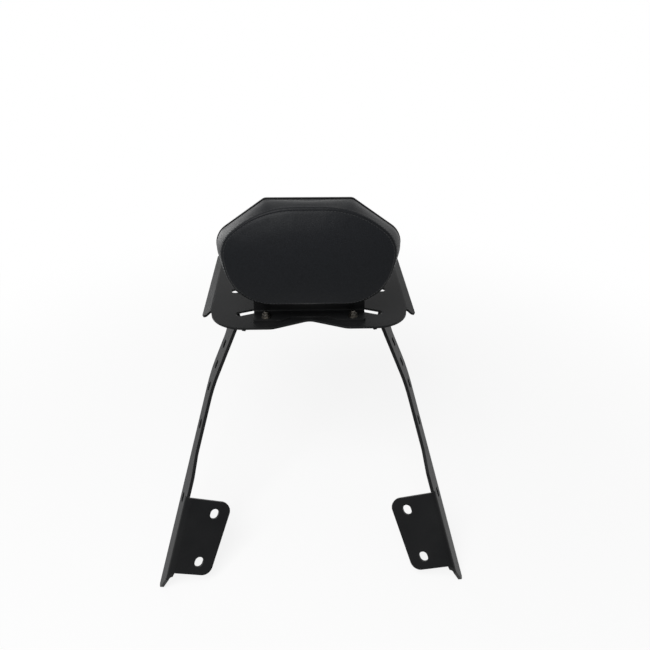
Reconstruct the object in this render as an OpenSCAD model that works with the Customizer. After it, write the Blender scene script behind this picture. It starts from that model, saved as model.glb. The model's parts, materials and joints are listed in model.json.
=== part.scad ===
// Motorcycle luggage rack with a backrest: a folded carrier plate on two laser-cut
// side arms, with a padded backrest on an upright at its front edge.
// Millimetres. X is across the motorcycle, the pad faces -Y, Z is up.
// The origin is the middle of the carrier plate's top face.

/* [Carrier plate] */
// Width between the two side folds
plate_w = 228; // [200:1:260]
// Length from the front edge to the rear edge
plate_l = 228; // [215:1:250]
// Sheet thickness of the plate
plate_t = 2.5; // [2:0.5:4]
// Radius of the two front corners
plate_front_r = 40; // [24:1:44]
// Radius of the two rear corners
plate_rear_r = 18; // [10:1:28]
// Width of the notch in the front edge
notch_w = 84; // [60:1:92]
// Depth of the notch in the front edge
notch_d = 18.5; // [10:0.5:19]
// Width of the lip folded down along each side
lip_w = 9; // [6:0.5:14]
// Angle that each side lip is folded down by
lip_angle = 22; // [10:1:40]
// Length that each lip's rounded tip reaches past its fold
lip_reach = 12; // [3:0.5:14]

/* [Strap slots] */
// Number of slots on each side
strap_rows = 3; // [2:1:3]
// Overall length of a slot
strap_slot_l = 46; // [30:1:48]
// Width of a slot
strap_slot_w = 10; // [6:0.5:11]
// Angle of a slot to the front edge
strap_slot_angle = 22; // [10:1:30]
// Distance from the front edge to the outer end of the first slot
strap_slot_inset = 33; // [32:1:36]
// Distance from the middle to the outer end of the first slot
strap_slot_x = 80.5; // [78:0.5:83]
// Distance from one row of slots to the next
strap_pitch = 59; // [57:1:62]
// Distance that each row moves outward from the one before
strap_shift = 10; // [4:1:10]

/* [Side arms] */
// Sheet thickness of the arms
arm_t = 4; // [3:0.5:6]
// Angle that the arms spread outward from upright
arm_splay = 23; // [15:1:28]
// Angle that the arms' front edges turn inward
arm_toe = 13; // [5:1:16]
// Distance from the middle to an arm's top fold, beside its mounting point
arm_fold_x = 80.5; // [78:0.5:86]
// Distance from the plate's front edge to that mounting point
arm_fold_y = 34; // [32:0.5:38]
// Angle that the leg leans forward from the neck
leg_lean = 27; // [15:1:35]
// Depth of the knee below the top fold
knee_drop = 97; // [90:1:120]
// Length of the leg from the knee to the foot's lower end
leg_l = 245; // [220:1:280]
// Width of the neck
neck_w = 26.5; // [22:0.5:32]
// Width of the leg at its waist
waist_w = 20; // [18:0.5:24]
// Width of the leg beside the foot
shin_w = 28; // [26:0.5:34]
// Length that the leg's tapered tip reaches below the foot, before rounding
tip_drop = 32; // [20:1:44]
// Width of the slots in the arms
arm_slot_w = 6.5; // [4:0.5:8]
// Length of the slots in the arms
arm_slot_l = 12; // [9:0.5:16]
// Distance between the slots in the neck
arm_slot_pitch = 30; // [22:1:34]
// Length of the tabs that bolt under the plate
tab_l = 42; // [38:1:46]
// Width of the front tab
front_tab_w = 22; // [20:1:24]
// Width of the rear tab
rear_tab_w = 24; // [20:1:30]

/* [Feet] */
// Length of a foot along its fold
foot_l = 91; // [80:1:110]
// Width of a foot at its upper edge
foot_top_w = 59; // [50:1:66]
// Width of a foot at its lower edge
foot_low_w = 51; // [44:1:58]
// Radius of a foot's two free corners
foot_r = 12; // [6:1:16]
// Distance between a foot's two bolt slots
foot_pitch = 60; // [50:1:64]
// Width of a bolt slot
foot_slot_w = 10.5; // [8.5:0.5:12]
// Length of a bolt slot
foot_slot_l = 12.5; // [12.5:0.5:18]
// Distance from a foot's free edge to the line of its bolt slots
foot_slot_inset = 18.5; // [14:0.5:22]
// Distance from a foot's upper edge to its upper bolt slot
foot_slot_drop = 15.5; // [12:0.5:18]
// Length that the fold slants on below a foot, into the leg's tip
heel_flow = 11; // [4:0.5:14]

/* [Backrest bracket] */
// Sheet thickness of the bracket
bracket_t = 3; // [2:0.5:4]
// Width of the upright and of the flange that bolts to the plate
bracket_w = 128; // [124:1:140]
// Distance from the plate's front edge to the upright's front face
bracket_inset = 32; // [31:0.5:36]
// Distance from the plate's front edge to the flange's front edge
flange_inset = 12; // [10:0.5:13]
// Angle that the upright leans back
bracket_lean = 5; // [0:1:12]
// Height of the backrest plate's top edge
back_top = 136; // [125:0.5:145]
// Width of the backrest plate's straight top edge
back_top_w = 96; // [76:1:110]
// Width of the backrest plate at its widest corner, before rounding
back_w = 212.5; // [200:0.5:224]
// Height of that widest corner
back_side_h = 95; // [84:0.5:100]
// Width of the backrest plate's lower end
back_low_w = 168; // [150:1:176]
// Height of the backrest plate's lower end
back_low = 27; // [24:0.5:32]

/* [Pad] */
// Thickness of the pad from its back to the front seam
pad_side_t = 33; // [26:1:40]
// Height that the front face swells out past the seam
pad_crown = 9; // [5:1:14]
// Distance that the pad stands inside the backrest plate's edge
pad_margin = 1; // [0.5:0.5:4]
// Thickness of the cover
cover_t = 1.2; // [0.8:0.1:2]
// Thickness of the backing board
board_t = 6; // [5:0.5:9]
// Width of the cover's turn-in behind the board
turn_in = 14; // [10:1:18]
// Distance between the left and right pad screws
pad_screw_w = 90; // [70:1:100]
// Height of the lower pad screws
pad_screw_low = 58; // [54:1:66]
// Distance from the lower to the upper pad screws
pad_screw_h = 44; // [36:1:48]

/* [Fasteners] */
// Thread diameter of the bolts and screws
bolt_d = 5; // [4:1:6]
// Width across the flats of the nuts and heads
bolt_af = 8; // [8:0.5:10]
// Height of a bolt head
head_h = 3.5; // [3:0.5:5]
// Height of a self-locking nut
nut_h = 5; // [4.5:0.5:8]
// Diameter of a washer
washer_d = 11; // [10:0.5:13]
// Thickness of a washer
washer_t = 1; // [0.8:0.1:2]
// Play between a bolt and its hole, on the diameter
bolt_play = 0.5; // [0.3:0.1:1]
// Distance from the middle to the front bolts
front_bolt_x = 49.5; // [48:0.5:52]
// Distance from the plate's front edge to the front bolts
front_bolt_inset = 19.5; // [18.5:0.5:21]
// Distance from the middle to the rear bolts
rear_bolt_x = 60; // [58:0.5:61]
// Distance from the plate's front edge to the rear bolts
rear_bolt_inset = 70; // [69:0.5:71]

/* [Hidden] */
$fn = 48;

// Inner radii of the folds, and the largest angle between two points of an arc
lip_fold_r = 4;
arm_fold_r = 4;
foot_fold_r = 3;
bracket_fold_r = 3;
arc_step = 7;

// Length that a fold and the sheet past it run into each other, and the depth that the
// sheet's faces and ends draw in by along the fold, where bending thins it
fold_lap = 0.6;
fold_thinning = 0.02;

// Places that several pieces share
front_y = -plate_l / 2;
hole_d = bolt_d + bolt_play;
front_bolt_y = front_y + front_bolt_inset;
rear_bolt_y = front_y + rear_bolt_inset;
upright_y = front_y + bracket_inset;
tab_under = -plate_t - arm_t;

steel_black = [0.10, 0.10, 0.105];
leather_black = [0.12, 0.12, 0.125];
foam_grey = [0.75, 0.74, 0.70];
board_brown = [0.62, 0.50, 0.36];
zinc = [0.60, 0.58, 0.55];

// Outlines: a corner is [x, y, radius]

function unit(v) = v / norm(v);
function flat(c) = [c.x, c.y];
function corner_half(a, b, c) = acos(unit(a - b) * unit(c - b)) / 2;

// The points of the arc that rounds corner b, between its neighbours a and c
function corner_points(a, b, c, r) =
    let (u = unit(a - b), v = unit(c - b), half = corner_half(a, b, c))
    let (middle = b + unit(u + v) * r / sin(half), start = b + u * r / tan(half) - middle)
    let (turn = (180 - 2 * half) * (u.x * v.y - u.y * v.x > 0 ? -1 : 1))
    let (steps = max(2, ceil(abs(turn) / arc_step)), from = atan2(start.y, start.x))
    [for (k = [0:steps]) middle + r * [cos(from + turn * k / steps), sin(from + turn * k / steps)]];

// The points of a closed outline with its corners rounded
function rounded(corners) =
    let (n = len(corners))
    [for (i = [0:n - 1])
        let (a = flat(corners[(i + n - 1) % n]), b = flat(corners[i]), c = flat(corners[(i + 1) % n]))
        each (corners[i][2] > 0 ? corner_points(a, b, c, corners[i][2]) : [b])];

// The same outline moved inward by d, where every corner is convex
function inset(corners, d) =
    let (n = len(corners))
    [for (i = [0:n - 1])
        let (a = flat(corners[(i + n - 1) % n]), b = flat(corners[i]), c = flat(corners[(i + 1) % n]))
        let (moved = b + unit(unit(a - b) + unit(c - b)) * d / sin(corner_half(a, b, c)))
        [moved.x, moved.y, max(corners[i][2] - d, 0.5)]];

// A right half, from the bottom up, with its mirror image on the left
function both_halves(right) =
    concat(right, [for (i = [len(right) - 1:-1:0]) [-right[i].x, right[i].y, right[i][2]]]);

// A slot along X, centred on the origin
module slot_shape(length, width) {
    square([length - width, width], center = true);
    for (side = [-1, 1])
        translate([side * (length - width) / 2, 0])
            circle(d = width);
}

// A folded strip of sheet along +X. The sheet lies below Z = 0 at Y > 0 and folds
// down past Y = 0. The children continue it past Y = 0 of the frame at the fold's end.
module fold(length, angle, inner_r, thickness) {
    outer_r = inner_r + thickness;
    lead = asin(fold_lap / outer_r);
    translate([0, 0, -outer_r])
        rotate([0, -90, 180])
            rotate([0, 0, -lead])
                rotate_extrude(angle = angle + lead, $fn = 96)
                    translate([inner_r + fold_thinning, fold_thinning])
                        square([thickness - 2 * fold_thinning, length - 2 * fold_thinning]);
    translate([0, -outer_r * sin(angle), outer_r * (cos(angle) - 1)])
        rotate([angle, 0, 0])
            children();
}

// Carrier plate

plate_corners = [
    [0, front_y + notch_d, 14],
    [notch_w / 2, front_y, 20],
    [plate_w / 2, front_y, plate_front_r],
    [plate_w / 2, plate_l / 2, plate_rear_r],
    [-plate_w / 2, plate_l / 2, plate_rear_r],
    [-plate_w / 2, front_y, plate_front_r],
    [-notch_w / 2, front_y, 20]
];

module strap_slots() {
    for (row = [0:strap_rows - 1])
        translate([strap_slot_x + row * strap_shift, front_y + strap_slot_inset + row * strap_pitch])
            rotate(180 - strap_slot_angle)
                translate([(strap_slot_l - strap_slot_w) / 2, 0])
                    slot_shape(strap_slot_l, strap_slot_w);
}

module plate_bolt_holes() {
    for (place = [[front_bolt_x, front_bolt_y], [rear_bolt_x, rear_bolt_y]])
        translate(place)
            circle(d = hole_d);
}

module side_lip() {
    length = plate_l - plate_front_r - plate_rear_r;
    lip = [
        [0, fold_lap, 0], [0, -lip_w, 5],
        [length + lip_reach, -lip_w, 3.5], [length, 0, 0], [length, fold_lap, 0]
    ];
    translate([-plate_w / 2, plate_l / 2 - plate_rear_r, 0])
        rotate([0, 0, -90])
            fold(length, lip_angle, lip_fold_r, plate_t)
                translate([0, 0, -plate_t])
                    linear_extrude(plate_t)
                        polygon(rounded(lip));
}

module carrier_plate() {
    color(steel_black) {
        translate([0, 0, -plate_t])
            linear_extrude(plate_t)
                difference() {
                    polygon(rounded(plate_corners));
                    for (side = [0, 1])
                        mirror([side, 0, 0]) {
                            strap_slots();
                            plate_bolt_holes();
                        }
                }
        for (side = [0, 1])
            mirror([side, 0, 0])
                side_lip();
    }
}

// Side arms, drawn as the left one in the plane of its outer face: X runs rearward
// along the top fold, Y down the arm, and the sheet lies below Z = 0.

tab_turn = 90 - arm_splay;
tab_setback = (arm_fold_r + arm_t) * tan(tab_turn / 2);
foot_setback = foot_fold_r + arm_t;

// A place on the plate, as the distance along the top fold from the mounting point
function along_fold(x, inset_y) =
    (arm_fold_x - x) * -sin(arm_toe) + (inset_y - arm_fold_y) * cos(arm_toe);

front_tab_from = along_fold(front_bolt_x, front_bolt_inset) - washer_d / 2;
rear_tab_to = along_fold(rear_bolt_x, rear_bolt_inset) + rear_tab_w / 2;
neck_front = 2.5;
neck_rear = neck_front + neck_w;
neck_mid = neck_front + neck_w / 2;

// A place on the leg: s along it from the knee, p forward of its rear edge
leg_along = [-sin(leg_lean), cos(leg_lean)];
leg_forward = [-cos(leg_lean), -sin(leg_lean)];
function leg(s, p) = [neck_rear, knee_drop] + s * leg_along + p * leg_forward;

// The depth at which the waist's front edge meets the neck's
waist_bend = leg((leg(0, waist_w).x - neck_front) / sin(leg_lean), waist_w).y;
foot_top = leg_l - foot_l;
flare_l = 28;
flare_gap = 24;
waist_end = leg(foot_top - flare_gap - flare_l, waist_w);
flare_end = leg(foot_top - flare_gap, shin_w);
heel = leg(leg_l, shin_w);
fold_low = leg(leg_l + heel_flow, shin_w - foot_setback);
tip = leg(leg_l + tip_drop, 0);

arm_corners = [
    [front_tab_from, tab_setback, 0],
    [neck_front, tab_setback + 6, 12],
    [neck_front, waist_bend, 70],
    [waist_end.x, waist_end.y, 30],
    [flare_end.x, flare_end.y, 20],
    [heel.x, heel.y, 0],
    [fold_low.x, fold_low.y, 0],
    [tip.x, tip.y, 4],
    [neck_rear, knee_drop, 80],
    [neck_rear - 1, tab_setback + 34, 20],
    [rear_tab_to, tab_setback + 8, 6],
    [rear_tab_to, tab_setback, 0]
];

first_arm_slot = 49;
leg_slots = [66, 158];

module arm_slots() {
    for (k = [0:1])
        translate([neck_mid, first_arm_slot + k * arm_slot_pitch])
            rotate(90)
                slot_shape(arm_slot_l, arm_slot_w);
    knee_slot = first_arm_slot + 2 * arm_slot_pitch;
    translate([neck_mid - 4.5, knee_slot])
        rotate(90 + leg_lean / 2)
            slot_shape(arm_slot_l, arm_slot_w);
    for (s = leg_slots)
        translate(leg(s, waist_w / 2 + 1))
            rotate(90 + leg_lean)
                slot_shape(arm_slot_l, arm_slot_w);
}

// The edge of the leg that the foot's fold takes up, with a relief above it
module foot_relief() {
    relief = 1;
    translate(heel)
        rotate(leg_lean - 90)
            translate([-heel_flow - 1, -arm_t])
                square([foot_l + relief + heel_flow + 1, foot_setback + arm_t]);
}

module arm_tab(from, width) {
    translate([from, tab_setback, 0])
        fold(width, tab_turn, arm_fold_r, arm_t)
            translate([0, 0, -arm_t])
                linear_extrude(arm_t)
                    polygon(rounded([
                        [0, fold_lap, 0], [0, tab_setback - tab_l, 6],
                        [width, tab_setback - tab_l, 6], [width, fold_lap, 0]
                    ]));
}

module foot() {
    top = foot_setback - foot_top_w;
    low = foot_setback - foot_low_w;
    slant = atan2(low - top, foot_l);
    // The upper bolt slot, on the line that runs beside the foot's free edge
    upper = [foot_l - foot_slot_drop, top + foot_slot_drop * tan(slant) + foot_slot_inset / cos(slant)];
    translate(heel)
        rotate(leg_lean - 90)
            difference() {
                translate([-heel_flow, foot_setback, 0])
                    fold(foot_l + heel_flow, 90, foot_fold_r, arm_t)
                        translate([heel_flow, 0, -arm_t])
                            linear_extrude(arm_t)
                                difference() {
                                    polygon(rounded([
                                        [0, fold_lap, 0], [0, low, foot_r],
                                        [foot_l, top, foot_r], [foot_l, fold_lap, 0]
                                    ]));
                                    translate(upper)
                                        rotate(180 - slant)
                                            for (k = [0:1])
                                                translate([k * foot_pitch, 0])
                                                    slot_shape(foot_slot_l, foot_slot_w);
                                }
                heel_slant();
            }
}

// What the fold loses below the foot, along a line from the foot's corner to the leg
module heel_slant() {
    run = [0.5 - heel_flow, foot_setback];
    beyond = 0.3;
    translate([0, 0, -foot_setback - 1])
        linear_extrude(foot_setback + 2)
            polygon([
                -beyond * run, (1 + beyond) * run,
                [-2 * heel_flow, (1 + beyond) * run.y], [-2 * heel_flow, -beyond * run.y]
            ]);
}

module left_arm() {
    color(steel_black)
        difference() {
            translate([-arm_fold_x, front_y + arm_fold_y, -plate_t])
                rotate([arm_splay - 90, 0, 90 + arm_toe]) {
                    translate([0, 0, -arm_t])
                        linear_extrude(arm_t)
                            difference() {
                                polygon(rounded(arm_corners));
                                arm_slots();
                                foot_relief();
                            }
                    arm_tab(front_tab_from, front_tab_w);
                    arm_tab(rear_tab_to - rear_tab_w, rear_tab_w);
                    foot();
                }
            for (place = [[-front_bolt_x, front_bolt_y], [-rear_bolt_x, rear_bolt_y]])
                translate([place.x, place.y, tab_under - 1])
                    cylinder(d = hole_d, h = arm_t + 2);
        }
}

module right_arm() {
    mirror([1, 0, 0])
        left_arm();
}

// Backrest bracket. On the upright's front face X is across, Y is up the face and Z
// is towards the pad.

module on_upright() {
    translate([0, upright_y, 0])
        rotate([90 - bracket_lean, 0, 0])
            children();
}

bracket_turn = 90 - bracket_lean;
fold_height = (bracket_t + bracket_fold_r - bracket_fold_r * sin(bracket_lean)) / cos(bracket_lean);
fold_y = upright_y + fold_height * sin(bracket_lean) - bracket_fold_r * cos(bracket_lean);

// The backrest plate's convex outline above its stem
back_corners = both_halves([
    [back_low_w / 2, back_low, 20],
    [back_w / 2, back_side_h, 24],
    [back_top_w / 2, back_top, 8]
]);

module flange() {
    middle_w = 44;
    middle_inset = notch_d + 1;
    linear_extrude(bracket_t)
        difference() {
            polygon(rounded([
                [-bracket_w / 2, fold_y, 0],
                [-bracket_w / 2, front_y + flange_inset, 4],
                [-middle_w / 2 - 10, front_y + flange_inset, 5],
                [-middle_w / 2, front_y + middle_inset, 5],
                [middle_w / 2, front_y + middle_inset, 5],
                [middle_w / 2 + 10, front_y + flange_inset, 5],
                [bracket_w / 2, front_y + flange_inset, 4],
                [bracket_w / 2, fold_y, 0]
            ]));
            for (side = [-1, 1])
                translate([side * front_bolt_x, front_bolt_y])
                    circle(d = hole_d);
        }
}

module upright() {
    stem_top = back_low + 12;
    fillet = 6;
    translate([0, 0, -bracket_t])
        linear_extrude(bracket_t)
            difference() {
                union() {
                    polygon(rounded(back_corners));
                    polygon(rounded([
                        [-bracket_w / 2, fold_height - fold_lap, 0],
                        [-bracket_w / 2, back_low, fillet],
                        [-bracket_w / 2 - 2 * fillet, back_low, 0],
                        [-bracket_w / 2 - 2 * fillet, stem_top, 0],
                        [bracket_w / 2 + 2 * fillet, stem_top, 0],
                        [bracket_w / 2 + 2 * fillet, back_low, 0],
                        [bracket_w / 2, back_low, fillet],
                        [bracket_w / 2, fold_height - fold_lap, 0]
                    ]));
                }
                pad_screw_places()
                    circle(d = hole_d);
            }
}

module backrest_bracket() {
    color(steel_black) {
        flange();
        translate([-bracket_w / 2, fold_y, 0])
            rotate([180, 0, 0])
                fold(bracket_w, bracket_turn, bracket_fold_r, bracket_t);
        on_upright()
            upright();
    }
}

// Pad, on the upright's front face

pad_back = inset(back_corners, pad_margin);
pad_seam = both_halves([
    [84, back_low - 2, 52],
    [97, back_side_h + 1, 34],
    [50, back_top - 2.5, 100]
]);
pad_middle = [0, (back_low + back_top) / 2];
pad_straight = 5;
slice_t = 0.4;

module pad_slice(corners, z, share = 1) {
    translate([0, 0, z])
        linear_extrude(slice_t)
            translate(pad_middle)
                scale(share)
                    translate(-pad_middle)
                        polygon(rounded(corners));
}

// The pad's outer form moved inward by d: straight off the plate's outline, drawn in
// to the seam, then crowned
module pad_form(d) {
    hull() {
        translate([0, 0, d])
            linear_extrude(pad_straight - d)
                polygon(rounded(inset(pad_back, d)));
        pad_slice(inset(pad_seam, d), pad_side_t - d);
        pad_slice(inset(pad_seam, d), pad_side_t + pad_crown * 0.5 - d, 0.94);
        pad_slice(inset(pad_seam, d), pad_side_t + pad_crown * 0.85 - d, 0.78);
        pad_slice(inset(pad_seam, d), pad_side_t + pad_crown - d - slice_t, 0.5);
    }
}

// The board's outline is inside the foam that wraps over its edge
module board_shape(play) {
    linear_extrude(board_t)
        polygon(rounded(inset(pad_back, cover_t + 2.5 - play)));
}

module pad_screw_places() {
    for (x = [-1, 1], k = [0, 1])
        translate([x * pad_screw_w / 2, pad_screw_low + k * pad_screw_h])
            children();
}

module pad_cover() {
    color(leather_black)
        on_upright()
            difference() {
                pad_form(0);
                pad_form(cover_t);
                translate([0, 0, -1])
                    linear_extrude(cover_t + 2)
                        polygon(rounded(inset(pad_back, turn_in)));
            }
}

module pad_foam() {
    color(foam_grey)
        on_upright()
            difference() {
                pad_form(cover_t);
                translate([0, 0, cover_t])
                    board_shape(0);
                pad_screw_places()
                    cylinder(d = insert_flange_d, h = cover_t + board_t + insert_flange_t);
                pad_screw_places()
                    cylinder(d = bolt_d, h = cover_t + board_t + screw_end);
            }
}

module pad_board() {
    color(board_brown)
        on_upright()
            difference() {
                translate([0, 0, cover_t])
                    board_shape(0);
                pad_screw_places()
                    cylinder(d = insert_barrel_d, h = cover_t + board_t + 1);
            }
}

// Fasteners, each with its seat at Z = 0

insert_barrel_d = bolt_d + 2;
insert_flange_d = bolt_d + 12;
insert_flange_t = 1.2;
screw_end = 3;
front_stack = arm_t + plate_t + bracket_t;
rear_stack = arm_t + plate_t;
thread_end = 1.3;

module washer() {
    color(zinc)
        difference() {
            cylinder(d = washer_d, h = washer_t);
            translate([0, 0, -1])
                cylinder(d = hole_d, h = washer_t + 2);
        }
}

// A hexagon across bolt_af, with its corners chamfered off at the top
module hexagon(height) {
    corner = bolt_af / 2 / cos(30);
    chamfer = 0.8;
    intersection() {
        cylinder(r = corner, h = height, $fn = 6);
        rotate_extrude()
            polygon([
                [0, 0], [corner + 1, 0], [corner + 1, height - chamfer],
                [corner, height - chamfer], [corner - 1.7 * chamfer, height], [0, height]
            ]);
    }
}

// A hex head below Z = 0 with its shank above, chamfered at the end
module bolt(length) {
    chamfer = 0.6;
    color(zinc) {
        mirror([0, 0, 1])
            hexagon(head_h);
        rotate_extrude()
            polygon([
                [0, -0.1], [bolt_d / 2, -0.1], [bolt_d / 2, length - chamfer],
                [bolt_d / 2 - chamfer, length], [0, length]
            ]);
    }
}

// A self-locking nut: the hexagon carries a round collar for its locking ring
module nut() {
    color(zinc)
        difference() {
            union() {
                hexagon(nut_h * 0.75);
                cylinder(d = bolt_af * 0.84, h = nut_h);
            }
            translate([0, 0, -1])
                cylinder(d = bolt_d, h = nut_h + 2);
        }
}

module pad_insert() {
    color(zinc)
        difference() {
            union() {
                translate([0, 0, cover_t])
                    cylinder(d = insert_barrel_d, h = board_t);
                translate([0, 0, cover_t + board_t])
                    cylinder(d = insert_flange_d, h = insert_flange_t);
            }
            cylinder(d = bolt_d, h = cover_t + board_t + insert_flange_t + 1);
        }
}

// Front bolts come up through tab, plate and flange, with their nuts on top
module at_front_bolt(side, z) {
    translate([side * front_bolt_x, front_bolt_y, z])
        children();
}

// Rear bolts hang from the plate's top face, with their nuts under the tab
module at_rear_bolt(side, z) {
    translate([side * rear_bolt_x, rear_bolt_y, z])
        children();
}

module front_bolt(side) {
    at_front_bolt(side, tab_under - washer_t)
        bolt(front_stack + 2 * washer_t + nut_h + thread_end);
}

module front_nut(side) {
    at_front_bolt(side, bracket_t + washer_t)
        nut();
}

module front_top_washer(side) {
    at_front_bolt(side, bracket_t)
        washer();
}

module front_bottom_washer(side) {
    at_front_bolt(side, tab_under - washer_t)
        washer();
}

module rear_bolt(side) {
    at_rear_bolt(side, washer_t)
        mirror([0, 0, 1])
            bolt(rear_stack + 2 * washer_t + nut_h + thread_end);
}

module rear_nut(side) {
    at_rear_bolt(side, tab_under - washer_t)
        mirror([0, 0, 1])
            nut();
}

module rear_top_washer(side) {
    at_rear_bolt(side, 0)
        washer();
}

module rear_bottom_washer(side) {
    at_rear_bolt(side, tab_under - washer_t)
        washer();
}

// The pad screws are numbered 1 and 2 on the left, 3 and 4 on the right, lower first
module at_pad_screw(number) {
    on_upright()
        translate([
            (number > 2 ? 1 : -1) * pad_screw_w / 2,
            pad_screw_low + (number + 1) % 2 * pad_screw_h,
            0
        ])
            children();
}

module pad_screw(number) {
    at_pad_screw(number)
        translate([0, 0, -bracket_t - washer_t])
            bolt(bracket_t + washer_t + cover_t + board_t + screw_end);
}

module pad_washer(number) {
    at_pad_screw(number)
        translate([0, 0, -bracket_t - washer_t])
            washer();
}

module pad_insert_at(number) {
    at_pad_screw(number)
        pad_insert();
}

carrier_plate();
left_arm();
right_arm();
backrest_bracket();
pad_cover();
pad_foam();
pad_board();
front_bolt(-1);  // left_front_bolt
front_nut(-1);  // left_front_nut
front_top_washer(-1);  // left_front_top_washer
front_bottom_washer(-1);  // left_front_bottom_washer
front_bolt(1);  // right_front_bolt
front_nut(1);  // right_front_nut
front_top_washer(1);  // right_front_top_washer
front_bottom_washer(1);  // right_front_bottom_washer
rear_bolt(-1);  // left_rear_bolt
rear_nut(-1);  // left_rear_nut
rear_top_washer(-1);  // left_rear_top_washer
rear_bottom_washer(-1);  // left_rear_bottom_washer
rear_bolt(1);  // right_rear_bolt
rear_nut(1);  // right_rear_nut
rear_top_washer(1);  // right_rear_top_washer
rear_bottom_washer(1);  // right_rear_bottom_washer
pad_screw(1);  // pad_screw_1
pad_screw(2);  // pad_screw_2
pad_screw(3);  // pad_screw_3
pad_screw(4);  // pad_screw_4
pad_washer(1);  // pad_washer_1
pad_washer(2);  // pad_washer_2
pad_washer(3);  // pad_washer_3
pad_washer(4);  // pad_washer_4
pad_insert_at(1);  // pad_insert_1
pad_insert_at(2);  // pad_insert_2
pad_insert_at(3);  // pad_insert_3
pad_insert_at(4);  // pad_insert_4
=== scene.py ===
"""The look of a motorcycle luggage rack with a padded backrest.

Metres, in the part's own frame: X is across, the pad faces -Y, Z is up, and the origin is
the middle of the carrier plate's top face.
"""

import json
import math

import bmesh
import bpy
from mathutils import Matrix, Vector
from mathutils.bvhtree import BVHTree
from mathutils.kdtree import KDTree


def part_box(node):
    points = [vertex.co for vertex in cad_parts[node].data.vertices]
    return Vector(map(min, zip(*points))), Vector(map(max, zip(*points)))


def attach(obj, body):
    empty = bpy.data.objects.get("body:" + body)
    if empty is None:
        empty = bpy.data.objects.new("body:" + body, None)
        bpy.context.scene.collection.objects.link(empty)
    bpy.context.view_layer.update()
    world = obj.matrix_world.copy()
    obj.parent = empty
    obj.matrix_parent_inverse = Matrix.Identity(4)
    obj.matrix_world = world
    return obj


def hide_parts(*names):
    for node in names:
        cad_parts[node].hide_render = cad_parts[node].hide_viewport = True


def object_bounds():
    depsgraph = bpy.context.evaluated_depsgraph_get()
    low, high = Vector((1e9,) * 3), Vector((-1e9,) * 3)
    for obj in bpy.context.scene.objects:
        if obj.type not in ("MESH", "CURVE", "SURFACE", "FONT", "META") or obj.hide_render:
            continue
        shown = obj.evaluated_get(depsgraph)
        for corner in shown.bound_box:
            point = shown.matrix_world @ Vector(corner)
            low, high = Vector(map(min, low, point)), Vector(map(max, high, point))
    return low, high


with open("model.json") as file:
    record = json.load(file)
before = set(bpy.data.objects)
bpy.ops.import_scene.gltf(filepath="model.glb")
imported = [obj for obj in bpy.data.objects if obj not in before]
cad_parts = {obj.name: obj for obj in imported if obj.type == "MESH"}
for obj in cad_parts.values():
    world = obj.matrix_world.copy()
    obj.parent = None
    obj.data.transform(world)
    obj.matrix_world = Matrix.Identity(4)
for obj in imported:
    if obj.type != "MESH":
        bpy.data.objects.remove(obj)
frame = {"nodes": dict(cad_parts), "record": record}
cad_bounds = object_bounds()

MM = 0.001
WHITE = (1.0, 1.0, 1.0, 1.0)

# Places that the pad shares with the frame, in millimetres
PLATE_FRONT_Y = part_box("carrier_plate")[0][1] / MM
UPRIGHT_SETBACK = 32
UPRIGHT_Y = PLATE_FRONT_Y + UPRIGHT_SETBACK
BACK_LEAN = 5
BACK_LOW = 27
BACK_TOP = 136

# Corners of the right half of the backrest's plate and of the pad's seam, from the bottom up:
# distance from the middle, height up the upright and radius, in millimetres
PLATE_CORNERS = [(84, BACK_LOW, 20), (106.25, 95, 24), (48, BACK_TOP, 8)]
SEAM_CORNERS = [(84, BACK_LOW - 2, 52), (97, 96, 34), (50, BACK_TOP - 2.5, 100)]
ARC_STEPS = 12

# Pad, in millimetres. The margin is between the plate's edge and the skin, and the crown is
# how far the front stands out from the seam before it is stuffed.
PAD_MARGIN = 1
PAD_BACK_DEPTH = 0.25
PAD_BELLY = 0.9
PAD_SEAM_DEPTH = 33
SEAM_LAP = 1.2
PAD_CROWN = 10.8

# Powers that shape the side's flare, and the crown near the seam and in its middle
SIDE_FLARE = 1.35
CROWN_EDGE = 2.3
CROWN_MIDDLE = 0.76

# Points round the pad, and rows of them up its side and over its front
PAD_COLUMNS = 336
PAD_SIDE_ROWS = 18
PAD_FRONT_ROWS = 34

# Stuffing, in millimetres: size of the coarse copy's faces, furthest that a point may move,
# and distance over which the seam and the back are held
PAD_VOXEL = 5
PAD_SWELL = 4.5
PAD_HOLD = 4

# Pressure, frames of the simulation, and coarse points that each point of the skin follows
PAD_PRESSURE = 40
PAD_FRAMES = 20
NEIGHBOURS = 8

# Thread, in millimetres, with its rows in the form that pad_rows gives them, and the number
# of points that trace a row
STITCH_ROWS = [(1, 2.7, 1, PAD_SEAM_DEPTH + 2.6), (0.87, 0.05, 1, PAD_SEAM_DEPTH - 3.2)]
STITCH_PITCH = 3.4
STITCH_RADIUS = 0.33
STITCH_PATH = 720

# Floor and the distances between which its shadow fades, in metres, and the strength of the
# light from all around
FLOOR_HALF = 9.0
FLOOR_GAP = 0.0002
SHADOW_NEAR = 0.35
SHADOW_FAR = 1.1
SOFT_LIGHT = 0.2


# Camera

CAMERA_ELEVATION = 29.836
CAMERA_TURN = 2.284
CAMERA_ROLL = 0.45
CAMERA_DISTANCE = 0.7278
CAMERA_FOCAL = 36.0
PHOTO_SIZE = 650
# Pixel of the photograph at which the middle of the plate's front edge lies
AIM_PIXEL = (309.8, 327.3)


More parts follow.
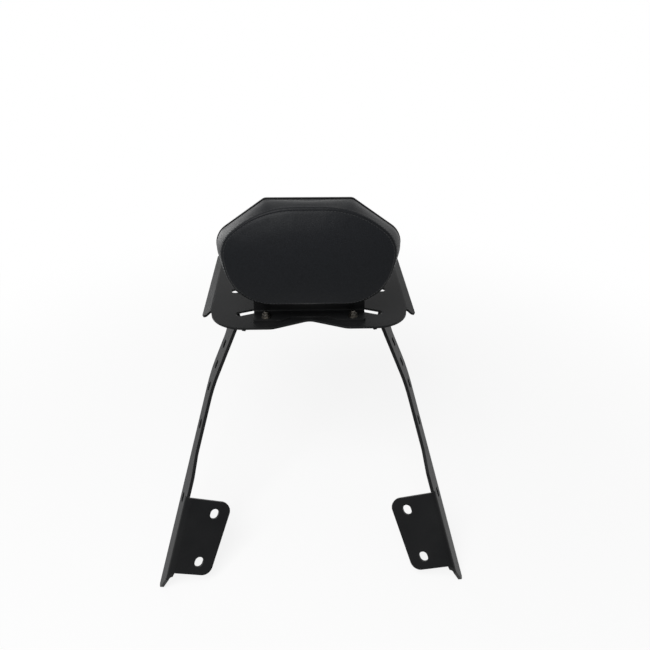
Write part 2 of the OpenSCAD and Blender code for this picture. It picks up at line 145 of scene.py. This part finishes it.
def make_camera():
    """A camera at the photograph's viewing angle, aimed by the plate's front edge."""
    lift = math.radians(CAMERA_ELEVATION)
    turn = math.radians(CAMERA_TURN)
    roll = math.radians(CAMERA_ROLL)
    forward = Vector((
        math.sin(turn) * math.cos(lift), math.cos(turn) * math.cos(lift), -math.sin(lift),
    ))
    level = Vector((math.cos(turn), -math.sin(turn), 0))
    upward = level.cross(forward)
    right = math.cos(roll) * level + math.sin(roll) * upward
    up = math.cos(roll) * upward - math.sin(roll) * level
    aside = (AIM_PIXEL[0] - PHOTO_SIZE / 2) / PHOTO_SIZE * CAMERA_DISTANCE
    below = (AIM_PIXEL[1] - PHOTO_SIZE / 2) / PHOTO_SIZE * CAMERA_DISTANCE
    aim = Vector((0, PLATE_FRONT_Y * MM, 0))
    place = aim - forward * CAMERA_DISTANCE - right * aside + up * below
    data = bpy.data.cameras.new("camera")
    data.sensor_width = CAMERA_FOCAL
    data.lens = CAMERA_FOCAL
    data.clip_start = 0.01
    camera = bpy.data.objects.new("camera", data)
    bpy.context.scene.collection.objects.link(camera)
    axes = Matrix((right, up, -forward)).transposed()
    camera.matrix_world = Matrix.Translation(place) @ axes.to_4x4()
    bpy.context.scene.camera = camera


# Node helpers


class Shader:
    """The node tree of a material or a world, with short calls that add and link nodes."""

    def __init__(self, owner):
        owner.use_nodes = True
        self.owner = owner
        self.tree = owner.node_tree

    def add(self, kind, inputs=None, **settings):
        node = self.tree.nodes.new("ShaderNode" + kind)
        for key, value in settings.items():
            setattr(node, key, value)
        for key, value in (inputs or {}).items():
            self.feed(node.inputs[key], value)
        return node

    def feed(self, socket, value):
        if isinstance(value, bpy.types.NodeSocket):
            self.tree.links.new(value, socket)
        else:
            socket.default_value = value

    def place(self):
        """The surface point in metres."""
        return self.add("TexCoord").outputs["Object"]

    def math(self, operation, *values):
        node = self.add("Math", operation=operation)
        for socket, value in zip(node.inputs, values):
            self.feed(socket, value)
        return node.outputs[0]

    def noise(self, scale, detail=2.0, roughness=0.5):
        inputs = {"Vector": self.place(), "Scale": scale, "Detail": detail, "Roughness": roughness}
        return self.add("TexNoise", inputs).outputs["Fac"]

    def ramp(self, fac, low, high, start=0.0, end=1.0):
        """A colour that runs from low to high as fac runs from start to end."""
        node = self.add("ValToRGB", {"Fac": fac})
        for stop, place, colour in zip(node.color_ramp.elements, (start, end), (low, high)):
            stop.position = place
            stop.color = (*colour, 1)
        return node.outputs["Color"]

    def span(self, fac, low, high):
        """A number that runs from low to high as fac runs from 0 to 1."""
        return self.add("MapRange", {"Value": fac, "To Min": low, "To Max": high}).outputs["Result"]

    def bump(self, height, distance, strength=1.0, normal=None):
        inputs = {"Height": height, "Distance": distance, "Strength": strength}
        if normal is not None:
            inputs["Normal"] = normal
        return self.add("Bump", inputs).outputs["Normal"]

    def soft_edge(self, radius):
        """A normal that rounds sharp edges over the radius."""
        return self.add("Bevel", {"Radius": radius}, samples=6).outputs["Normal"]

    def finish(self, **values):
        names = {
            "colour": "Base Color", "metallic": "Metallic", "roughness": "Roughness",
            "specular": "Specular IOR Level", "normal": "Normal",
            "sheen": "Sheen Weight", "sheen_roughness": "Sheen Roughness",
        }
        bsdf = self.tree.nodes["Principled BSDF"]
        for key, value in values.items():
            self.feed(bsdf.inputs[names[key]], value)
        return self.owner


# Materials


def powder_coat():
    """Satin black powder coat: fine orange peel, uneven gloss, a paler painted highlight along its
    edges.
    """
    s = Shader(bpy.data.materials.new("powder_coat"))
    peel = s.noise(1400, 2.0)
    drift = s.noise(26, 3.0)
    # Painted highlight: along the edges, where the rounded normal turns from the flat one, the
    # colour is mixed unevenly towards a paler grey.
    flat = s.add("NewGeometry").outputs["True Normal"]
    rounded = s.soft_edge(0.0006)
    facing = s.add("VectorMath", {0: rounded, 1: flat}, operation="DOT_PRODUCT").outputs["Value"]
    edge = s.math("MULTIPLY", s.math("SUBTRACT", 1, facing), 2.5)
    edge_highlight_mask = s.math("MULTIPLY", s.math("MINIMUM", edge, 1), s.noise(90, 4.0))
    coat = s.ramp(drift, (0.0085, 0.0088, 0.0094), (0.0122, 0.0125, 0.0130), 0.3, 0.7)
    # Mixed towards the paler grey of the painted edge highlight.
    painted_edge_highlight = s.add("Mix", {"Factor": edge_highlight_mask}, data_type="RGBA")
    s.feed(painted_edge_highlight.inputs["A"], coat)
    s.feed(painted_edge_highlight.inputs["B"], (0.030, 0.029, 0.027, 1))
    return s.finish(
        colour=painted_edge_highlight.outputs["Result"],
        roughness=s.span(drift, 0.32, 0.42),
        specular=0.06,
        sheen=0.06,
        sheen_roughness=0.3,
        normal=s.bump(peel, 0.00006, 0.5, s.soft_edge(0.0005)),
    )


def leatherette():
    """Black leatherette: fine pebbled grain with creases between the pebbles, darkened by painted
    shade.
    """
    s = Shader(bpy.data.materials.new("leatherette"))
    warp = s.add("TexNoise", {"Vector": s.place(), "Scale": 300, "Detail": 2.0}).outputs["Color"]
    lean = s.add("VectorMath", {0: warp, "Scale": 0.0016}, operation="SCALE").outputs["Vector"]
    point = s.add("VectorMath", {0: s.place(), 1: lean}, operation="ADD").outputs["Vector"]
    cell = s.add("TexVoronoi", {"Vector": point, "Scale": 620}, feature="DISTANCE_TO_EDGE")
    pebble = s.math("SMOOTH_MIN", cell.outputs["Distance"], 0.35, 0.2)
    fine = s.noise(2400, 3.0)
    height = s.math("ADD", s.math("MULTIPLY", pebble, 2.2), s.math("MULTIPLY", fine, 0.35))
    drift = s.noise(40, 3.0)
    # Painted shade: the colour is darker in the creases between the pebbles.
    crease = s.math("MULTIPLY", pebble, 2.4)
    return s.finish(
        colour=s.ramp(crease, (0.0036, 0.0042, 0.0052), (0.0072, 0.0082, 0.0100), 0.0, 0.7),
        roughness=s.span(drift, 0.37, 0.47),
        specular=0.11,
        normal=s.bump(height, 0.00012, 0.6),
    )


def thread_black():
    """Waxed black thread."""
    s = Shader(bpy.data.materials.new("thread_black"))
    twist = s.noise(3000, 1.0)
    return s.finish(
        colour=s.ramp(twist, (0.012, 0.012, 0.013), (0.040, 0.040, 0.042)),
        specular=0.2,
        roughness=0.55,
        normal=s.bump(twist, 0.0001, 0.6),
    )


def zinc_plate():
    """Dull zinc plating with a faint warm cast and brushed unevenness."""
    s = Shader(bpy.data.materials.new("zinc_plate"))
    drift = s.noise(160, 4.0)
    stretch = s.add("Mapping", {"Vector": s.place(), "Scale": (1, 1, 14)}).outputs["Vector"]
    brush = s.add("TexNoise", {"Vector": stretch, "Scale": 500}).outputs["Fac"]
    return s.finish(
        colour=s.ramp(drift, (0.085, 0.079, 0.069), (0.150, 0.141, 0.126), 0.3, 0.7),
        metallic=1.0,
        roughness=s.span(drift, 0.30, 0.46),
        normal=s.bump(brush, 0.00003, 0.5, s.soft_edge(0.0003)),
    )


def plywood():
    """Birch plywood, in the plies' own layers."""
    s = Shader(bpy.data.materials.new("plywood"))
    stretch = s.add("Mapping", {"Vector": s.place(), "Scale": (40, 900, 300)}).outputs["Vector"]
    grain = s.add("TexNoise", {"Vector": stretch, "Scale": 1.0, "Detail": 4.0}).outputs["Fac"]
    return s.finish(
        colour=s.ramp(grain, (0.34, 0.22, 0.12), (0.58, 0.42, 0.26), 0.3, 0.7),
        roughness=0.7,
        normal=s.bump(grain, 0.0002),
    )


def open_foam():
    """Pale open-cell foam."""
    s = Shader(bpy.data.materials.new("open_foam"))
    cell = s.add("TexVoronoi", {"Vector": s.place(), "Scale": 900}).outputs["Distance"]
    return s.finish(
        colour=s.ramp(cell, (0.42, 0.40, 0.33), (0.72, 0.70, 0.62)),
        roughness=0.9,
        normal=s.bump(cell, 0.0004),
    )


# Pad


def rounded_outline(corners):
    """Points of a closed outline whose corners (x, y, radius) are rounded by arcs."""
    points = []
    for i, (x, y, radius) in enumerate(corners):
        corner = Vector((x, y))
        before = (Vector(corners[i - 1][:2]) - corner).normalized()
        after = (Vector(corners[(i + 1) % len(corners)][:2]) - corner).normalized()
        half = before.angle(after) / 2
        middle = corner + (before + after).normalized() * (radius / math.sin(half))
        start = corner + before * (radius / math.tan(half)) - middle
        turn = math.pi - 2 * half
        for step in range(ARC_STEPS + 1):
            swing = Matrix.Rotation(turn * step / ARC_STEPS, 2)
            points.append(middle + swing @ start)
    return points


def both_halves(right):
    """The right half's corners from the bottom up, then their mirror image."""
    return right + [(-x, y, radius) for x, y, radius in reversed(right)]


PLATE_OUTLINE = rounded_outline(both_halves(PLATE_CORNERS))
SEAM_OUTLINE = rounded_outline(both_halves(SEAM_CORNERS))
PAD_MIDDLE = Vector((0, (BACK_LOW + BACK_TOP) / 2))


def reach(outline, angle):
    """Distance from the pad's middle to an outline, in the direction of an angle."""
    ray = Vector((math.cos(angle), math.sin(angle)))
    for i, p in enumerate(outline):
        a = outline[i - 1] - PAD_MIDDLE
        b = p - PAD_MIDDLE
        side_a = ray.x * a.y - ray.y * a.x
        side_b = ray.x * b.y - ray.y * b.x
        if side_a <= 0 < side_b:
            share = side_a / (side_a - side_b)
            return (a + (b - a) * share).dot(ray)
    raise ValueError("the outline does not surround the pad's middle")


def on_upright(x, v, depth):
    """A point on the upright's front face, in millimetres, as a point of the frame in metres."""
    lean = math.radians(BACK_LEAN)
    y = UPRIGHT_Y + v * math.sin(lean) - depth * math.cos(lean)
    z = v * math.cos(lean) + depth * math.sin(lean)
    return Vector((x, y, z)) * MM


def depth_of(point):
    """How far a point of the frame lies in front of the upright, in millimetres."""
    lean = math.radians(BACK_LEAN)
    return (UPRIGHT_Y - point.y / MM) * math.cos(lean) + point.z / MM * math.sin(lean)


def pad_rows():
    """Rows of the pad's skin from the back's turn-in to the front's middle.

    A row is (share of the way from the plate's outline to the seam's, millimetres inward,
    scale towards the middle, depth).
    """
    turn_in = [(14, PAD_BACK_DEPTH), (8, 0.2), (3.2, 0.2), (1.6, 0.35), (0.55, 1.0), (0.1, 2.2)]
    rows = [(0, inward, 1, depth) for inward, depth in turn_in]
    seam = PAD_SEAM_DEPTH
    side_start = 2.2
    side_end = seam - 1.7
    for k in range(1, PAD_SIDE_ROWS):
        t = k / PAD_SIDE_ROWS
        belly = PAD_BELLY * math.sin(math.pi * t)
        rows.append((t ** SIDE_FLARE, 0.1 - belly, 1, side_start + (side_end - side_start) * t))
    groove = [(0.15, -1.5), (0.6, -0.8), (1.6, -0.4), (3.1, -0.1), (2.3, 0.6), (1.5, SEAM_LAP)]
    rows += [(1, inward, 1, seam + beyond) for inward, beyond in groove]
    for k in range(1, PAD_FRONT_ROWS + 1):
        t = k / PAD_FRONT_ROWS
        scale = 1 - t
        rise = (1 - (1 - t) ** CROWN_EDGE) ** CROWN_MIDDLE
        rows.append((1, 1.5 * scale, scale, seam + SEAM_LAP + (PAD_CROWN - SEAM_LAP) * rise))
    return rows


def reaches(angle):
    """How far the skin's back edge and the seam lie from the pad's middle at an angle."""
    return reach(PLATE_OUTLINE, angle) - PAD_MARGIN, reach(SEAM_OUTLINE, angle)


def pad_point(angle, plate, seam, row):
    """The point of a row at an angle, where the back edge and the seam lie that far out."""
    share, inward, scale, depth = row
    length = (plate * (1 - share) + seam * share - inward) * scale
    x = PAD_MIDDLE.x + length * math.cos(angle)
    return on_upright(x, PAD_MIDDLE.y + length * math.sin(angle), depth)


def make_object(name, mesh, material):
    piece = bpy.data.objects.new(name, mesh)
    bpy.context.scene.collection.objects.link(piece)
    mesh.materials.append(material)
    for face in mesh.polygons:
        face.use_smooth = True
    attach(piece, "root")
    return piece


def join_rings(bm, rings):
    """Faces between each ring of points and the next."""
    count = len(rings[0])
    for lower, upper in zip(rings, rings[1:]):
        for k in range(count):
            n = (k + 1) % count
            bm.faces.new((lower[k], lower[n], upper[n], upper[k]))


def make_cushion(material):
    """The stuffed cover: one closed skin of rows round the pad, crowned and seamed."""
    angles = [2 * math.pi * (k + 0.5) / PAD_COLUMNS for k in range(PAD_COLUMNS)]
    spokes = [(angle, *reaches(angle)) for angle in angles]
    bm = bmesh.new()
    rings = [
        [bm.verts.new(pad_point(*spoke, row)) for spoke in spokes]
        for row in pad_rows()[:-1]
    ]
    join_rings(bm, rings)
    tip = bm.verts.new(on_upright(PAD_MIDDLE.x, PAD_MIDDLE.y, PAD_SEAM_DEPTH + PAD_CROWN))
    for k in range(PAD_COLUMNS):
        bm.faces.new((rings[-1][k], rings[-1][(k + 1) % PAD_COLUMNS], tip))
    back = bm.verts.new(on_upright(PAD_MIDDLE.x, PAD_MIDDLE.y, PAD_BACK_DEPTH))
    for k in range(PAD_COLUMNS):
        bm.faces.new((rings[0][(k + 1) % PAD_COLUMNS], rings[0][k], back))
    bmesh.ops.recalc_face_normals(bm, faces=bm.faces)
    mesh = bpy.data.meshes.new("pad_cushion")
    bm.to_mesh(mesh)
    bm.free()
    stuff(mesh)
    cushion = make_object("pad_cushion", mesh, material)
    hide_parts("pad_cover", "pad_foam")
    return mesh


def stuff(skin):
    """Swell the skin by a cloth simulation of a coarse copy, held at the seam and the back."""
    scene = bpy.context.scene
    copy = bpy.data.objects.new("stuffing", skin.copy())
    scene.collection.objects.link(copy)
    remesh = copy.modifiers.new("remesh", "REMESH")
    remesh.mode = "VOXEL"
    remesh.voxel_size = PAD_VOXEL * MM
    coarse = bpy.data.meshes.new_from_object(evaluated(copy))
    copy.modifiers.clear()
    copy.data = coarse
    seam = nearest([skin.vertices[i].co for i in seam_points()])
    fixed = [
        v.index for v in coarse.vertices
        if depth_of(v.co) < PAD_HOLD or seam.find(v.co)[2] < PAD_HOLD * MM
    ]
    copy.vertex_groups.new(name="held").add(fixed, 1.0, "REPLACE")
    cloth = copy.modifiers.new("cloth", "CLOTH").settings
    cloth.use_pressure = True
    cloth.uniform_pressure_force = PAD_PRESSURE
    cloth.vertex_group_mass = "held"
    cloth.effector_weights.gravity = 0
    for step in range(1, PAD_FRAMES + 1):
        scene.frame_set(step)
    swollen = evaluated(copy).data.vertices
    moves = [after.co - before.co for before, after in zip(coarse.vertices, swollen)]
    moves = [move * min(1, PAD_SWELL * MM / max(move.length, 1e-9)) for move in moves]
    around = nearest([v.co for v in coarse.vertices])
    for point in skin.vertices:
        if depth_of(point.co) < PAD_HOLD:
            continue
        found = around.find_n(point.co, NEIGHBOURS)
        close = [(moves[i], 1 / (gap + MM) ** 2) for _, i, gap in found]
        total = sum(weight for _, weight in close)
        point.co += sum((move * weight for move, weight in close), Vector()) / total
    scene.frame_set(1)
    bpy.data.objects.remove(copy)


def evaluated(piece):
    """The object with its modifiers worked out."""
    return piece.evaluated_get(bpy.context.evaluated_depsgraph_get())


def seam_points():
    """Indices of the skin's points that lie along the seam."""
    rows = pad_rows()
    return [
        r * PAD_COLUMNS + k
        for r, (share, inward, _, depth) in enumerate(rows)
        if share == 1 and depth <= PAD_SEAM_DEPTH + SEAM_LAP
        for k in range(PAD_COLUMNS)
    ]


def nearest(points):
    """A tree that finds the nearest of the points."""
    tree = KDTree(len(points))
    for i, point in enumerate(points):
        tree.insert(point, i)
    tree.balance()
    return tree


def thread_path(surface, row):
    """A closed row of points on the skin."""
    path = []
    for k in range(STITCH_PATH):
        angle = 2 * math.pi * k / STITCH_PATH
        path.append(surface.find_nearest(pad_point(angle, *reaches(angle), row))[0])
    return path


def make_stitches(skin, material):
    """Two rows of thread on the skin, one on each side of the seam."""
    bm = bmesh.new()
    corners = [v.co for v in skin.vertices]
    surface = BVHTree.FromPolygons(corners, [f.vertices for f in skin.polygons])
    for row in STITCH_ROWS:
        path = thread_path(surface, row)
        lengths = [0.0]
        for k in range(STITCH_PATH):
            lengths.append(lengths[-1] + (path[(k + 1) % STITCH_PATH] - path[k]).length)
        stitches = round(lengths[-1] / (STITCH_PITCH * MM))
        for s in range(stitches):
            ends = []
            for share in (0.16, 0.84):
                target = lengths[-1] * (s + share) / stitches
                k = next(i for i in range(STITCH_PATH) if lengths[i + 1] >= target)
                part = (target - lengths[k]) / (lengths[k + 1] - lengths[k])
                ends.append(path[k].lerp(path[(k + 1) % STITCH_PATH], part))
            add_stitch(bm, ends[0], ends[1], STITCH_RADIUS * MM)
    mesh = bpy.data.meshes.new("pad_stitches")
    bm.to_mesh(mesh)
    bm.free()
    make_object("pad_stitches", mesh, material)


def add_stitch(bm, start, end, radius):
    """A short thread with its two ends drawn in."""
    along = (end - start).normalized()
    side = along.cross(Vector((0, 0, 1))).normalized()
    up = side.cross(along)
    rings = []
    for share, size in ((0, 0.35), (0.12, 0.85), (0.5, 1.0), (0.88, 0.85), (1, 0.35)):
        middle = start.lerp(end, share)
        ring = []
        for k in range(6):
            angle = math.tau * k / 6
            outward = side * math.cos(angle) + up * math.sin(angle)
            ring.append(bm.verts.new(middle + outward * radius * size))
        rings.append(ring)
    join_rings(bm, rings)
    bm.faces.new(reversed(rings[0]))
    bm.faces.new(rings[-1])


# Floor, light and background


def make_floor():
    """A pale floor under the arms' tips, white to the camera apart from the shadow."""
    level = cad_bounds[0][2] - FLOOR_GAP
    mesh = bpy.data.meshes.new("floor")
    signs = ((-1, -1), (1, -1), (1, 1), (-1, 1))
    corners = [(x * FLOOR_HALF, y * FLOOR_HALF, level) for x, y in signs]
    mesh.from_pydata(corners, [], [(0, 1, 2, 3)])
    floor = bpy.data.objects.new("floor", mesh)
    bpy.context.scene.collection.objects.link(floor)
    s = Shader(bpy.data.materials.new("floor_white"))
    s.tree.nodes.clear()
    diffuse = s.add("BsdfDiffuse", {"Color": (0.92, 0.92, 0.92, 1)}).outputs[0]
    glow = s.add("Emission", {"Color": WHITE, "Strength": 1.0}).outputs[0]
    distance = s.add("VectorMath", {0: s.place()}, operation="LENGTH").outputs["Value"]
    spread = {
        "Value": distance, "From Min": SHADOW_NEAR, "From Max": SHADOW_FAR,
        "To Min": 0.86, "To Max": 1.0,
    }
    share = s.add("MapRange", spread, interpolation_type="SMOOTHSTEP").outputs["Result"]
    mix = s.add("MixShader", {0: s.math("MULTIPLY", seen_directly(s), share), 1: diffuse, 2: glow})
    s.feed(s.add("OutputMaterial").inputs["Surface"], mix.outputs[0])
    mesh.materials.append(s.owner)


def seen_directly(s):
    """1 for what the camera, a gloss or a clear surface sees, 0 for light that falls on things."""
    rays = s.add("LightPath").outputs
    bounced = s.math("MAXIMUM", rays["Is Glossy Ray"], rays["Is Transmission Ray"])
    return s.math("MAXIMUM", rays["Is Camera Ray"], bounced)


def make_world():
    """White surroundings that light the object only softly."""
    world = bpy.data.worlds.new("studio")
    bpy.context.scene.world = world
    s = Shader(world)
    s.tree.nodes.clear()
    soft = s.add("Background", {"Color": WHITE, "Strength": SOFT_LIGHT}).outputs[0]
    white = s.add("Background", {"Color": WHITE, "Strength": 1.0}).outputs[0]
    mix = s.add("MixShader", {0: seen_directly(s), 1: soft, 2: white})
    s.feed(s.add("OutputWorld").inputs["Surface"], mix.outputs[0])


def make_lamp(name, place, size, watts):
    """A square lamp, in metres, that points at the middle of the carrier plate."""
    data = bpy.data.lights.new(name, "AREA")
    data.shape = "SQUARE"
    data.size = size
    data.energy = watts
    lamp = bpy.data.objects.new(name, data)
    bpy.context.scene.collection.objects.link(lamp)
    lamp.location = place
    lamp.rotation_euler = (-Vector(place)).to_track_quat("-Z", "Y").to_euler()


# Assembly

make_camera()
make_floor()
make_world()
make_lamp("key", place=(-0.4, -0.95, 1.05), size=0.8, watts=20)
make_lamp("rim", place=(-0.95, 1.1, 0.1), size=0.7, watts=4)

finishes = {
    "powder_coat": powder_coat(),
    "leather": leatherette(),
    "foam": open_foam(),
    "board": plywood(),
    "zinc": zinc_plate(),
}
slots = {entry["node"]: entry["material_slot"] for entry in frame["record"]["subparts"]}
for name, node in frame["nodes"].items():
    for held in node.material_slots:
        held.material = finishes[slots[name]]
    if not node.material_slots:
        node.data.materials.append(finishes[slots[name]])

skin = make_cushion(finishes["leather"])
make_stitches(skin, thread_black())

bpy.context.scene.view_settings.view_transform = "Standard"
